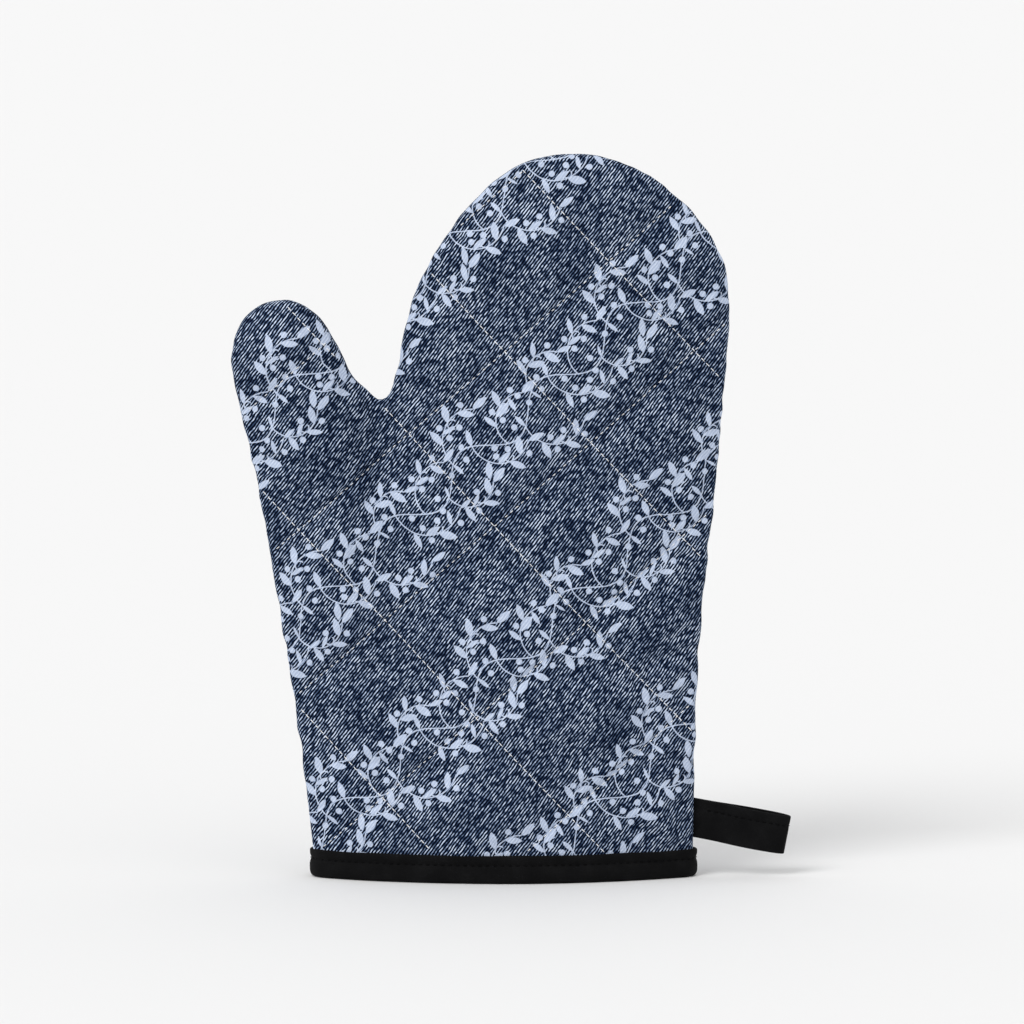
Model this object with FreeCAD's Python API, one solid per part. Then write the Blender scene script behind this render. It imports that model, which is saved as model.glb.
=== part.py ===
"""A quilted oven mitt that stands on its open cuff: cloth shells, wadding, binding, loop and threads.

Frame: +Z up from the cuff's rim to the finger tips, +X towards the hanging loop, -Y is the front.
The origin is on the floor under the middle of the mitt. Units are millimetres.

The mitt is drawn first as a flat pattern, with X across it, Y from cuff to finger tips and Z its
thickness above the seam plane. Each front piece is then stood up, and its back twin is its mirror.
"""

import FreeCAD, Part

import math
import os

from FreeCAD import Vector

# Cloth thicknesses and the layers they leave, counted inwards from the printed cloth's outer face.
COVER_THICKNESS = 0.5
BATTING_THICKNESS = 5.0
LINING_THICKNESS = 0.4
BATTING_START = COVER_THICKNESS
LINING_START = COVER_THICKNESS + BATTING_THICKNESS
CAVITY_START = LINING_START + LINING_THICKNESS

# The pillow shape: half the mitt's depth at its edge and above the middle of the hand and thumb.
EDGE_HALF_DEPTH = 3.2
CUFF_CROWN = 21.8
FINGER_CROWN = 10.6
THUMB_CROWN = 9.8

# The hand tapers from the cuff's oval to a round finger end.
FINGER_CENTRE = Vector(22.0, 225.0, 0)
FINGER_RADIUS = 60.0
CUFF_CENTRE_X = -2.95
CUFF_HALF_WIDTH = 74.5

# The thumb is a ridge that leans out of the palm and narrows towards its tip.
THUMB_ROOT = Vector(-41.0, 0, 0)
THUMB_TIP_CENTRE = Vector(-87.0, 202.5, 0)
THUMB_ROOT_WIDTH = 31.0
THUMB_TIP_WIDTH = 22.5
RIDGE_BLEND = 4.0

# The finished seam line of the pattern, from the cuff up the little-finger side to the crotch.
HEM_BELOW_RIM = 20.0
HAND_EDGE = [
    (69.8, -HEM_BELOW_RIM),
    (70.1, 0),
    (70.7, 35),
    (71.7, 70),
    (74.7, 113),
    (79.0, 152),
    (82.4, 192),
    (84.1, 222),
    (80.9, 240.5),
    (69.5, 257.8),
    (46.5, 275),
    (24.0, 280),
    (1.7, 275.2),
    (-18.4, 257.8),
    (-33.4, 234.7),
    (-41.7, 211.6),
    (-44.2, 197),
    (-47.5, 187.5),
]
CROTCH_BOTTOM = (-50.4, 185.5)
THUMB_EDGE = [
    (-53.0, 186.5),
    (-61.2, 194.6),
    (-66.9, 205.8),
    (-75.0, 217.4),
    (-88.5, 223.9),
    (-102.0, 217.4),
    (-107.8, 206),
    (-107.7, 196),
    (-103.6, 177),
    (-94.3, 131),
    (-86.6, 84),
    (-80.0, 38),
    (-75.8, 0),
    (-73.9, -HEM_BELOW_RIM),
]

# Terrain grid that carries the pillow shape, wide enough to cover the binding's overlap.
GRID_STEP = 7.0
GRID_X = (-126.0, 105.0)
GRID_Y = (-28.0, 294.0)

# The cuff binding: folded tape that wraps the raw edge of every layer.
BINDING_HEIGHT = 11.0
BINDING_THICKNESS = 1.3
FIT_GAP = 0.1
BINDING_SHOW = BINDING_THICKNESS + FIT_GAP
PANEL_BOTTOM = 1.5

# Thread sizes.
THREAD_THICKNESS = 0.3
THREAD_WIDTH = 0.5
THREAD_LIFT = 0.22
BINDING_STITCH_Z = 7.2
SEAM_THREAD_SIZE = 0.7
SEAM_THREAD_INSET = 2.4
LINING_SEAM_INSET = 4.4

# The quilting: two families of straight rows, each given by its slope and the points it passes.
FALLING_SLOPE = -math.tan(math.radians(46.5))
RISING_SLOPE = math.tan(math.radians(41.0))
FALLING_ROWS = [(27.4, 249.4), (-16.9, 219.3), (-48.0, 181.0), (-48.4, 100.2), (-60.0, 43.0)]
RISING_ROWS = [(-88.0, 193.0), (-40.9, 171.0), (18.6, 159.2), (34.0, 105.0), (49.8, 50.6)]
ROW_STEP = 4.0
ROW_MARGIN = 1.2

# The hanging loop: a folded tape that leaves the side seam and droops a little.
LOOP_WIDTH = 15.0
LOOP_DROOP_DEGREES = 10.7
LOOP_TAPE = 1.3
LOOP_REACH = 34.3
LOOP_MIDDLE_Z = 22.2
LOOP_HINGE_X = 73.4
LOOP_ROOT_RADIUS = 1.6
LOOP_HALF_SPREAD = 5.0
LOOP_STITCH_DROP = 3.8
LOOP_ROOT_OVERRUN = 6.0

# Where the loop's two layers part, measured along it from the hinge line, and how far they open there.
LOOP_ROOT_END = 2.0
LOOP_FORK = 5.0
LOOP_MIDWAY = 11.0
LOOP_MIDWAY_SHARE = 0.55
LOOP_WIDEST = 21.0
LOOP_TIP_START = 30.0
LOOP_TIP_SHARE = 0.8
LOOP_ROOT_SWELL = 0.1

FLAT_SOLID_HEIGHT = 70.0


def blend_over(low, high, share):
    """The value between low and high at a share from 0 to 1."""
    return low + (high - low) * share


def hand_crown(x, y):
    """Height of the hand's pillow above the seam plane, before the edge's own thickness."""
    share = min(max(y / FINGER_CENTRE.y, 0.0), 1.0)
    centre = blend_over(CUFF_CENTRE_X, FINGER_CENTRE.x, share)
    half_width = blend_over(CUFF_HALF_WIDTH, FINGER_RADIUS, share)
    crown = blend_over(CUFF_CROWN, FINGER_CROWN, share)
    above_centre = max(y - FINGER_CENTRE.y, 0.0)
    spread = ((x - centre) / half_width) ** 2 + (above_centre / FINGER_RADIUS) ** 2
    return crown * (1.0 - spread)


def thumb_crown(x, y):
    """Height of the thumb's ridge above the seam plane, before the edge's own thickness."""
    axis = THUMB_TIP_CENTRE - THUMB_ROOT
    offset = Vector(x, y, 0) - THUMB_ROOT
    share = min(max(offset.dot(axis) / axis.dot(axis), 0.0), 1.0)
    nearest = THUMB_ROOT + axis * share
    half_width = blend_over(THUMB_ROOT_WIDTH, THUMB_TIP_WIDTH, share)
    spread = (Vector(x, y, 0) - nearest).Length / half_width
    return THUMB_CROWN * (1.0 - spread**2)


def half_depth(x, y):
    """Half the mitt's depth at a point of the pattern: hand and thumb blended into one pillow."""
    hand = hand_crown(x, y) / RIDGE_BLEND
    thumb = thumb_crown(x, y) / RIDGE_BLEND
    top = max(hand, thumb)
    blended = top + math.log(math.exp(hand - top) + math.exp(thumb - top))
    return EDGE_HALF_DEPTH + RIDGE_BLEND * blended


def spline_edge(points):
    """A smooth edge through pattern points."""
    curve = Part.BSplineCurve()
    curve.interpolate([Vector(x, y, 0) for x, y in points])
    return curve.toShape()


def outline_wire():
    """The closed pattern outline: hand edge, crotch arc, thumb edge and a line under the cuff."""
    hand_end = Vector(*HAND_EDGE[-1], 0)
    thumb_start = Vector(*THUMB_EDGE[0], 0)
    crotch = Part.Arc(hand_end, Vector(*CROTCH_BOTTOM, 0), thumb_start).toShape()
    hem_left = Vector(*THUMB_EDGE[-1], 0)
    hem_right = Vector(*HAND_EDGE[0], 0)
    hem = Part.LineSegment(hem_left, hem_right).toShape()
    return Part.Wire([spline_edge(HAND_EDGE), crotch, spline_edge(THUMB_EDGE), hem])


def plain_edge(edge):
    """An edge as a line, an arc or a spline of its own, never as an offset of another curve."""
    if isinstance(edge.Curve, Part.OffsetCurve):
        return edge.toNurbs().Edges[0]
    return edge


def outline_face(grow):
    """The pattern as a flat face, its edge moved outwards by grow."""
    face = Part.Face(outline_wire())
    if grow == 0:
        return face
    moved = face.makeOffset2D(grow, join=0, fill=False).Faces[0]
    return Part.Face(Part.Wire([plain_edge(edge) for edge in moved.OuterWire.OrderedEdges]))


def terrain_block(grow):
    """A deep block under the pillow surface, which is raised by grow."""
    columns = int((GRID_X[1] - GRID_X[0]) / GRID_STEP) + 1
    rows = int((GRID_Y[1] - GRID_Y[0]) / GRID_STEP) + 1
    heights = []
    for column in range(columns):
        x = GRID_X[0] + GRID_STEP * column
        heights.append([half_depth(x, GRID_Y[0] + GRID_STEP * row) + grow for row in range(rows)])
    surface = Part.BSplineSurface()
    surface.interpolate(heights, GRID_X[0], GRID_STEP, GRID_Y[0], GRID_STEP)
    return surface.toShape().extrude(Vector(0, 0, -2 * FLAT_SOLID_HEIGHT))


def pillow(grow):
    """Half the mitt as one flat-backed solid on the seam plane, grown outwards by grow."""
    column = outline_face(grow).extrude(Vector(0, 0, FLAT_SOLID_HEIGHT))
    return column.common(terrain_block(grow))


def band(low, high):
    """A box that keeps only the stretch of the pattern from low to high above the cuff's rim."""
    width = GRID_X[1] - GRID_X[0]
    return Part.makeBox(width, high - low, FLAT_SOLID_HEIGHT, Vector(GRID_X[0], low, 0))


def stand_up(shape):
    """Turns a flat pattern shape upright, thickness towards the front."""
    upright = shape.copy()
    upright.rotate(Vector(0, 0, 0), Vector(1, 0, 0), 90)
    return upright


def mirror_to_back(shape):
    """The back twin of an upright front shape."""
    return shape.mirror(Vector(0, 0, 0), Vector(0, 1, 0))


def row_solid(point, slope):
    """One quilting row: a thin thread that follows the pillow surface across the pattern."""
    direction = Vector(1, slope, 0).normalize()
    middle = Vector(point[0], point[1], 0)
    reach = GRID_Y[1] - GRID_Y[0]
    line = Part.LineSegment(middle - direction * reach, middle + direction * reach).toShape()
    inside = outline_face(-ROW_MARGIN).common(line)
    pieces = []
    for edge in inside.Edges:
        ends = [vertex.Point for vertex in edge.Vertexes]
        count = max(int(edge.Length / ROW_STEP), 2)
        marks = [blend_over(ends[0], ends[1], step / count) for step in range(count + 1)]
        marks = [mark for mark in marks if mark.y > BINDING_HEIGHT + ROW_MARGIN]
        if len(marks) < 2:
            continue
        low = [Vector(m.x, m.y, half_depth(m.x, m.y) + THREAD_LIFT) for m in marks]
        high = [corner + Vector(0, 0, THREAD_THICKNESS) for corner in reversed(low)]
        ribbon = Part.Face(Part.makePolygon(low + high + low[:1]))
        across = direction.cross(Vector(0, 0, 1)) * THREAD_WIDTH
        thread = ribbon.extrude(across)
        thread.translate(across * -0.5)
        pieces.append(thread)
    return pieces


def quilting_stitches():
    """Every quilting row of the front panel, drawn flat. Crossing rows are fused where they meet."""
    rows = []
    for point in FALLING_ROWS:
        rows.extend(row_solid(point, FALLING_SLOPE))
    for point in RISING_ROWS:
        rows.extend(row_solid(point, RISING_SLOPE))
    return rows[0].multiFuse(rows[1:])


def seam_thread(inset, low):
    """A square thread that follows the outline at the seam plane, from low upwards."""
    outer = outline_face(-inset)
    inner = outline_face(-inset - SEAM_THREAD_SIZE)
    ring = outer.cut(inner).extrude(Vector(0, 0, SEAM_THREAD_SIZE))
    ring.translate(Vector(0, 0, -0.5 * SEAM_THREAD_SIZE))
    corner = Vector(GRID_X[0], low, -SEAM_THREAD_SIZE / 2)
    keep = Part.makeBox(GRID_X[1] - GRID_X[0], GRID_Y[1] - low, SEAM_THREAD_SIZE, corner)
    return ring.common(keep)


def teardrop(upper_side, tip):
    """A face between a smooth upper side, its mirror image below and a tip where they meet."""
    upper = [Vector(u, v, 0) for u, v in upper_side]
    lower = [Vector(u, -v, 0) for u, v in reversed(upper_side)]
    curve = Part.BSplineCurve()
    curve.interpolate(upper + [Vector(tip, 0, 0)] + lower)
    edges = [curve.toShape()]
    if upper_side[0][1] > 0:
        edges.append(Part.LineSegment(lower[-1], upper[0]).toShape())
    return Part.Face(Part.Wire(edges))


def loop_outside(grow):
    """The loop's outer face seen along the tape's width, from the seam to its folded end."""
    root = LOOP_TAPE + grow
    spread = LOOP_HALF_SPREAD + grow
    upper_side = [
        (-LOOP_ROOT_OVERRUN, root),
        (LOOP_ROOT_END, root + LOOP_ROOT_SWELL),
        (LOOP_MIDWAY, blend_over(root, spread, LOOP_MIDWAY_SHARE)),
        (LOOP_WIDEST, spread),
        (LOOP_TIP_START, LOOP_TIP_SHARE * spread),
    ]
    return teardrop(upper_side, LOOP_REACH + grow)


def loop_inside():
    """The open space between the loop's two layers."""
    spread = LOOP_HALF_SPREAD - LOOP_TAPE
    upper_side = [
        (LOOP_FORK, 0),
        (LOOP_MIDWAY, LOOP_MIDWAY_SHARE * spread),
        (LOOP_WIDEST, spread),
        (LOOP_TIP_START - LOOP_TAPE, LOOP_TIP_SHARE * spread),
    ]
    return teardrop(upper_side, LOOP_REACH - LOOP_TAPE)


def place_loop(shape):
    """Moves a loop shape from its own frame to the side seam, drooped."""
    placed = shape.copy()
    placed.rotate(Vector(0, 0, 0), Vector(0, 1, 0), LOOP_DROOP_DEGREES)
    placed.translate(Vector(LOOP_HINGE_X, 0, LOOP_MIDDLE_Z))
    return placed


def loop_root_keep(radius):
    """Everything beyond the hinge line, with a round end about that line."""
    height = 4 * LOOP_WIDTH
    base_z = LOOP_MIDDLE_Z - height / 2
    beyond = Part.makeBox(
        2 * LOOP_REACH, 2 * LOOP_REACH, height, Vector(LOOP_HINGE_X, -LOOP_REACH, base_z)
    )
    round_end = Part.makeCylinder(radius, height, Vector(LOOP_HINGE_X, 0, base_z))
    return beyond.fuse(round_end)


def hanging_loop():
    """The tape itself: a band between two teardrops, rounded where it meets the seam."""
    ring = loop_outside(0).cut(loop_inside())
    tape = ring.extrude(Vector(0, 0, LOOP_WIDTH))
    tape.translate(Vector(0, 0, -LOOP_WIDTH / 2))
    return place_loop(tape).common(loop_root_keep(LOOP_ROOT_RADIUS))


def loop_topstitch():
    """The thread row near the upper edge of the loop's tape."""
    outer = loop_outside(FIT_GAP + THREAD_THICKNESS)
    ring = outer.cut(loop_outside(FIT_GAP)).extrude(Vector(0, 0, THREAD_WIDTH))
    ring.translate(Vector(0, 0, LOOP_WIDTH / 2 - LOOP_STITCH_DROP))
    beyond = Part.makeBox(
        2 * LOOP_REACH,
        2 * LOOP_REACH,
        2 * LOOP_WIDTH,
        Vector(LOOP_HINGE_X + LOOP_ROOT_RADIUS, -LOOP_REACH, LOOP_MIDDLE_Z - LOOP_WIDTH),
    )
    return place_loop(ring).common(beyond)


def cuff_binding(outside, inside, panel_outside, panel_inside):
    """The folded tape: the rim's full ring less the slot that the layers fill."""
    ring = outside.cut(inside).common(band(0, BINDING_HEIGHT))
    slot = panel_outside.cut(panel_inside).common(band(PANEL_BOTTOM - FIT_GAP, 2 * BINDING_HEIGHT))
    return ring.cut(slot)


def binding_topstitch(outside, further_out):
    """One ring of thread round the outside of the binding."""
    stripe = band(BINDING_STITCH_Z, BINDING_STITCH_Z + THREAD_WIDTH)
    return further_out.cut(outside).common(stripe)


def both_sides(front_shape):
    """A flat front shape and its mirror image, upright and joined along the seam plane."""
    front = stand_up(front_shape)
    return front.fuse(mirror_to_back(front)).removeSplitter()


def build():
    """Every sub-part by node name."""
    panels = band(PANEL_BOTTOM, GRID_Y[1])
    levels = {
        "cover": pillow(0),
        "batting": pillow(-BATTING_START),
        "lining": pillow(-LINING_START),
        "cavity": pillow(-CAVITY_START),
    }
    cover = levels["cover"].cut(levels["batting"]).common(panels)
    batting = levels["batting"].cut(levels["lining"]).common(panels)
    lining = levels["lining"].cut(levels["cavity"]).common(panels)
    seams = {
        "side_seam_stitching": seam_thread(SEAM_THREAD_INSET, BINDING_HEIGHT),
        "lining_seam_stitching": seam_thread(LINING_SEAM_INSET, BINDING_HEIGHT),
    }
    batting = batting.cut(list(seams.values()))

    parts = {}
    fronts = {
        "outer": cover,
        "batting": batting,
        "lining": lining,
        "quilting_stitches": quilting_stitches(),
    }
    for name, flat_shape in fronts.items():
        front = stand_up(flat_shape)
        parts[name + "_front"] = front
        parts[name + "_back"] = mirror_to_back(front)
    for name, thread in seams.items():
        parts[name] = stand_up(thread)

    binding = cuff_binding(
        outside=pillow(BINDING_SHOW),
        inside=pillow(-CAVITY_START - BINDING_SHOW),
        panel_outside=pillow(FIT_GAP),
        panel_inside=pillow(-CAVITY_START - FIT_GAP),
    )
    parts["cuff_binding"] = both_sides(binding)
    lift = BINDING_SHOW + FIT_GAP
    stitched = binding_topstitch(pillow(lift), pillow(lift + THREAD_THICKNESS))
    parts["binding_topstitch"] = both_sides(stitched)
    parts["hanging_loop"] = hanging_loop()
    parts["loop_topstitch"] = loop_topstitch()
    return parts


def main():
    os.makedirs("parts", exist_ok=True)
    for name, shape in build().items():
        print(name, "solids", len(shape.Solids), "valid", shape.isValid(), "volume", round(shape.Volume, 1))
        shape.exportStep(os.path.join("parts", name + ".step"))


main()
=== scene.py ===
"""A quilted oven mitt standing on its open cuff, built as cloth panels, wadding, tape and thread.

Pattern places are in millimetres: X across the mitt, Y from the cuff's rim to the finger tips, as if
the mitt lay flat. A pattern point becomes a point of the row frame with its Y upright and the mitt's
depth towards the front (-Y) or the back (+Y), in metres.
"""

import math

import bpy
import numpy as np
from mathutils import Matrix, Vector
from mathutils.bvhtree import BVHTree
from mathutils.geometry import delaunay_2d_cdt
from mathutils.kdtree import KDTree


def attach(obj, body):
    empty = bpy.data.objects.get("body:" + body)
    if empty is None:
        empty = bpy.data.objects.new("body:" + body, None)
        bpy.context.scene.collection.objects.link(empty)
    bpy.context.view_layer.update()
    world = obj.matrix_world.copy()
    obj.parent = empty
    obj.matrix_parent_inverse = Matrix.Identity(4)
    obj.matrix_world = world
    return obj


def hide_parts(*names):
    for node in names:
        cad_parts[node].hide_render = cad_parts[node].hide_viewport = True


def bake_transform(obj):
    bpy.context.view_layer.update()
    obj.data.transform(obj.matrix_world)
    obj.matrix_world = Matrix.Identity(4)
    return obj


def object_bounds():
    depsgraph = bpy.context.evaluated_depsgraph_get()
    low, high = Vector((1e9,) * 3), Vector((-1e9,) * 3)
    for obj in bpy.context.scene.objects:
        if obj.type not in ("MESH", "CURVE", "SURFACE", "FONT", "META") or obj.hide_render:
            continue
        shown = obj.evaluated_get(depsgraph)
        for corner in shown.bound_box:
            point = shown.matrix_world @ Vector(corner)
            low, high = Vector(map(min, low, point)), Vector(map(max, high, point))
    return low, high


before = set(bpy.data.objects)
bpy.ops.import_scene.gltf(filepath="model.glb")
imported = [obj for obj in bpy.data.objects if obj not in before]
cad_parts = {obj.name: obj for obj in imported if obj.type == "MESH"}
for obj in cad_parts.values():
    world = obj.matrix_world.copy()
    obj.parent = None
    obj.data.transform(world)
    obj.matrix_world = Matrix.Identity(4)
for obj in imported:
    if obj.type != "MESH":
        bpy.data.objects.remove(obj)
cad_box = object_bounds()

MM = 0.001
FRONT = -1.0
BACK = 1.0

# The seam line of the pattern, as the CAD source has it, with points along the arc of the crotch.
HAND_EDGE = [
    (69.8, -20), (70.1, 0), (70.7, 35), (71.7, 70), (74.7, 113), (79.0, 152), (82.4, 192),
    (84.1, 222), (80.9, 240.5), (69.5, 257.8), (46.5, 275), (24.0, 280), (1.7, 275.2),
    (-18.4, 257.8), (-33.4, 234.7), (-41.7, 211.6), (-44.2, 197), (-47.5, 187.5),
]
CROTCH = [(-47.5, 187.5), (-48.6, 186.1), (-50.4, 185.5), (-51.8, 185.7), (-53.0, 186.5)]
THUMB_EDGE = [
    (-53.0, 186.5), (-61.2, 194.6), (-66.9, 205.8), (-75.0, 217.4), (-88.5, 223.9),
    (-102.0, 217.4), (-107.8, 206), (-107.7, 196), (-103.6, 177), (-94.3, 131), (-86.6, 84),
    (-80.0, 38), (-75.8, 0), (-73.9, -20),
]
PANEL_BOTTOM = 1.5
OUTLINE_BOTTOM = -20.0
CURVE_STEP = 0.3

# The sewn seam wavers a little above the cuff: waves as height, wavelength and seed.
SEAM_WAVES = ((0.38, 17, 77), (0.2, 6.5, 78))
SEAM_WAVER_INSET = 0.2
SEAM_STRAIGHT_BELOW = 26.0
SEAM_WAVER_FADE = 20.0

# The pillow shape, as the CAD source has it.
EDGE_HALF_DEPTH = 3.2
CUFF_CROWN = 21.8
FINGER_CROWN = 10.6
THUMB_CROWN = 9.8
FINGER_CENTRE = np.array((22.0, 225.0))
FINGER_RADIUS = 60.0
CUFF_CENTRE_X = -2.95
CUFF_HALF_WIDTH = 74.5
THUMB_ROOT = np.array((-41.0, 0.0))
THUMB_TIP_CENTRE = np.array((-87.0, 202.5))
THUMB_ROOT_WIDTH = 31.0
THUMB_TIP_WIDTH = 22.5
RIDGE_BLEND = 4.0

# Layers, counted inwards from the printed cloth's face.
COVER_THICKNESS = 0.5
LINING_DEPTH = 5.9
LINING_THICKNESS = 0.4

# The turned edge: the cloth rolls from the seam's groove round to the face.
ROLL_RADIUS = 2.6
ROLL_CENTRE_DEPTH = 2.2
ROLL_ANGLES = [-57.8, -36.0, -12.0, 12.0, 34.0, 60.0]
ROLL_TOP = ROLL_CENTRE_DEPTH + ROLL_RADIUS * math.sin(math.radians(ROLL_ANGLES[-1]))

# Quilting: two families of rows, by the angle they run at and a point on each row.
FALLING_ANGLE = -46.5
RISING_ANGLE = 41.0
FALLING_ROWS = [(27.4, 249.4), (-16.9, 219.3), (-48.0, 181.0), (-48.4, 100.2), (-60.0, 43.0)]
RISING_ROWS = [(-88.0, 193.0), (-40.9, 171.0), (18.6, 159.2), (34.0, 105.0), (49.8, 50.6)]
ROW_FAMILIES = ((FALLING_ROWS, FALLING_ANGLE), (RISING_ROWS, RISING_ANGLE))
PUFF_HEIGHT = 2.0
PUFF_MIDDLE = 0.55
PUFF_REACH = 6.0
STITCH_DIP = 0.5
STITCH_DIP_REACH = 1.1
PUCKER_HEIGHT = 0.16
PUCKER_PITCH = 7.0
PUCKER_REACH = 3.0
PUCKER_WANDER = 1.3
PUCKER_WANDER_LENGTH = 22
SOFT_DENTS = ((0.7, 70), (0.22, 24))
SEAM_PUCKER_HEIGHT = 0.3
SEAM_PUCKER_LENGTH = 11
SEAM_PUCKER_REACH = 7.0
SETTLE_REACH = 3.0
STITCH_PITCH = 2.7
STITCH_LENGTH = 1.9
STITCH_RADIUS = 0.2
ROW_MARGIN = 2.2
FALLING_STITCH_LENGTH = STITCH_LENGTH + 0.25
RISING_STITCH_LENGTH = STITCH_LENGTH - 0.3

# The seams inside: how far in from the outline, and the thread's radius.
SIDE_SEAM_INSET = 2.4
LINING_SEAM_INSET = 4.4
SEAM_THREAD_RADIUS = 0.3
TAPE_THREAD_RADIUS = 0.22

# The cuff binding and its stitch line.
BINDING_TOP = 11.0
BINDING_STITCH_Z = 7.2
BINDING_MIDDLE = BINDING_TOP / 2
BINDING_STITCHES = 112
BINDING_STATIONS = 290
# Its two walls: stand-off from the cloth's face, reach past the cloth's ends, rounding of the ends.
OUTER_WALL = (0.0, 0.5, 4.2)
INNER_WALL = (-LINING_DEPTH, 0.0, 3.0)
# The cloth above it puffs from a little under its top, more and more over this height.
CUFF_HELD_LEAD = 2.0
CUFF_HELD_FADE = 16.0

# The hanging loop.
LOOP_HINGE_X = 73.4
LOOP_MIDDLE_Z = 22.2
LOOP_WIDTH = 15.0
LOOP_DROOP_DEGREES = 10.7

# How far apart the points of each layer's mesh are.
PANEL_STEP = 1.6
LINING_STEP = 3.0
BATTING_STEP = 4.0
FILL_MARGIN = 0.6

# Where lining and wadding stop and how closely they follow the layers beside them.
LINING_INSET = 5.0
LINING_CLEARANCE = 0.12
WADDING_INSET = 3.4
WADDING_SEARCH = 3.5
WADDING_UNDER_COVER = 0.7
WADDING_OVER_LINING = 0.15
WADDING_FROM_SEAM_PLANE = 0.75
WADDING_THINNEST = 0.4

# The seam opens round the loop's root to let its tape out.
LOOP_GAP = 1.3
LOOP_GAP_REACH = 9.0

# The back panel is cut from another place of the print.
BACK_PRINT_SHIFT = (31.0, 17.0)

# The cloth simulation that puffs the panels.
SIM_FRAMES = 20
SIM_CAP = 2.5
SIM_CLOTH = {
    "quality": 5,
    "mass": 0.3,
    "tension_stiffness": 12,
    "compression_stiffness": 12,
    "bending_stiffness": 0.6,
    "use_pressure": True,
    "uniform_pressure_force": 4.0,
    "shrink_min": -0.02,
}
# How far from the seam, the quilting rows and the binding the cloth is still held.
SEAM_HOLD = 2.0
ROW_HOLD = 1.5
CUFF_HOLD = 4.0
CUFF_HOLD_FADE = 3.0

# Camera and light.
FRAME_WIDTH = 0.3955
CAMERA_LENS = 250
CAMERA_ELEVATION = 5.0
CAMERA_RAISE = 0.0015
FLOOR_RADIUS = 60.0
FLOOR_SIDES = 96
FLOOR_ALBEDO = 0.76
WORLD_STRENGTH = 0.92
KEY_STRENGTH = 1.5
KEY_SOFTNESS = 30
KEY_FROM = (-0.75, -1.0, 1.1)


# ---- the pattern and its surface ----


def smooth_line(points, step):
    """Points about every step along a natural cubic spline through the given points."""
    points = np.array(points, float)
    knots = lengths_along(points)
    gaps = np.diff(knots)
    count = len(points)
    system = np.eye(count)
    right = np.zeros_like(points)
    for i in range(1, count - 1):
        system[i, i - 1 : i + 2] = gaps[i - 1], 2 * (gaps[i - 1] + gaps[i]), gaps[i]
        slope_after = (points[i + 1] - points[i]) / gaps[i]
        slope_before = (points[i] - points[i - 1]) / gaps[i - 1]
        right[i] = 6 * (slope_after - slope_before)
    bend = np.linalg.solve(system, right)
    at = np.linspace(0, knots[-1], max(int(knots[-1] / step), 2) + 1)
    span = np.clip(np.searchsorted(knots, at, side="right") - 1, 0, count - 2)
    gap = gaps[span][:, None]
    before = (knots[span + 1] - at)[:, None] / gap
    after = 1 - before
    curve = (before**3 - before) * bend[span] + (after**3 - after) * bend[span + 1]
    return before * points[span] + after * points[span + 1] + curve * gap**2 / 6


def lengths_along(points):
    """How far along a polyline each of its points is."""
    return np.concatenate([[0], np.cumsum(np.linalg.norm(np.diff(points, axis=0), axis=1))])


def divided(points, count):
    """A polyline cut into count equal lengths: their count + 1 end points."""
    along = lengths_along(points)
    at = np.linspace(0, along[-1], count + 1)
    return np.stack([np.interp(at, along, line) for line in points.T], axis=1)


def respaced(points, step):
    """A polyline's points again, evenly spaced about a step apart."""
    points = np.array(points, float)
    return divided(points, max(int(round(lengths_along(points)[-1] / step)), 2))


def unit_rows(vectors):
    return vectors / np.linalg.norm(vectors, axis=1)[:, None]


def outline(step, bottom=PANEL_BOTTOM):
    """The seam line from the loop side of the cuff over fingers and thumb, with outward normals."""
    hand, crotch, thumb = (smooth_line(part, CURVE_STEP) for part in (HAND_EDGE, CROTCH, THUMB_EDGE))
    run = np.concatenate([hand, crotch[1:], thumb[1:]])
    line = respaced(run[run[:, 1] >= bottom], step)
    along = unit_rows(np.gradient(line, axis=0))
    outward = np.stack([along[:, 1], -along[:, 0]], axis=1)
    waver = ripples(line, SEAM_WAVES) - SEAM_WAVER_INSET
    waver *= np.clip((line[:, 1] - SEAM_STRAIGHT_BELOW) / SEAM_WAVER_FADE, 0, 1)
    return line + outward * waver[:, None], outward


def mix(low, high, share):
    return low + (high - low) * share


def half_depth(places):
    """Half the mitt's depth over pattern places: hand and thumb blended into one pillow."""
    x, y = places[:, 0], places[:, 1]
    share = np.clip(y / FINGER_CENTRE[1], 0, 1)
    across = (x - mix(CUFF_CENTRE_X, FINGER_CENTRE[0], share)) / mix(CUFF_HALF_WIDTH, FINGER_RADIUS, share)
    above = np.maximum(y - FINGER_CENTRE[1], 0) / FINGER_RADIUS
    hand = mix(CUFF_CROWN, FINGER_CROWN, share) * (1 - across**2 - above**2)
    axis = THUMB_TIP_CENTRE - THUMB_ROOT
    share = np.clip((places - THUMB_ROOT) @ axis / (axis @ axis), 0, 1)
    nearest = THUMB_ROOT + share[:, None] * axis
    off_axis = np.linalg.norm(places - nearest, axis=1) / mix(THUMB_ROOT_WIDTH, THUMB_TIP_WIDTH, share)
    thumb = THUMB_CROWN * (1 - off_axis**2)
    return EDGE_HALF_DEPTH + RIDGE_BLEND * np.logaddexp(hand / RIDGE_BLEND, thumb / RIDGE_BLEND)


def ripple(places, wavelength, seed, waves=7):
    """A smooth irregular ripple from -1 to 1: a few sine waves in seeded directions."""
    rng = np.random.default_rng(seed)
    total = np.zeros(len(places))
    for _ in range(waves):
        angle = rng.uniform(0, 2 * math.pi)
        scale = 2 * math.pi / (wavelength * rng.uniform(0.7, 1.5))
        phase = rng.uniform(0, 2 * math.pi)
        total += np.sin(scale * (places @ np.array((math.cos(angle), math.sin(angle)))) + phase)
    return total / math.sqrt(waves) / 1.6


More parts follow.
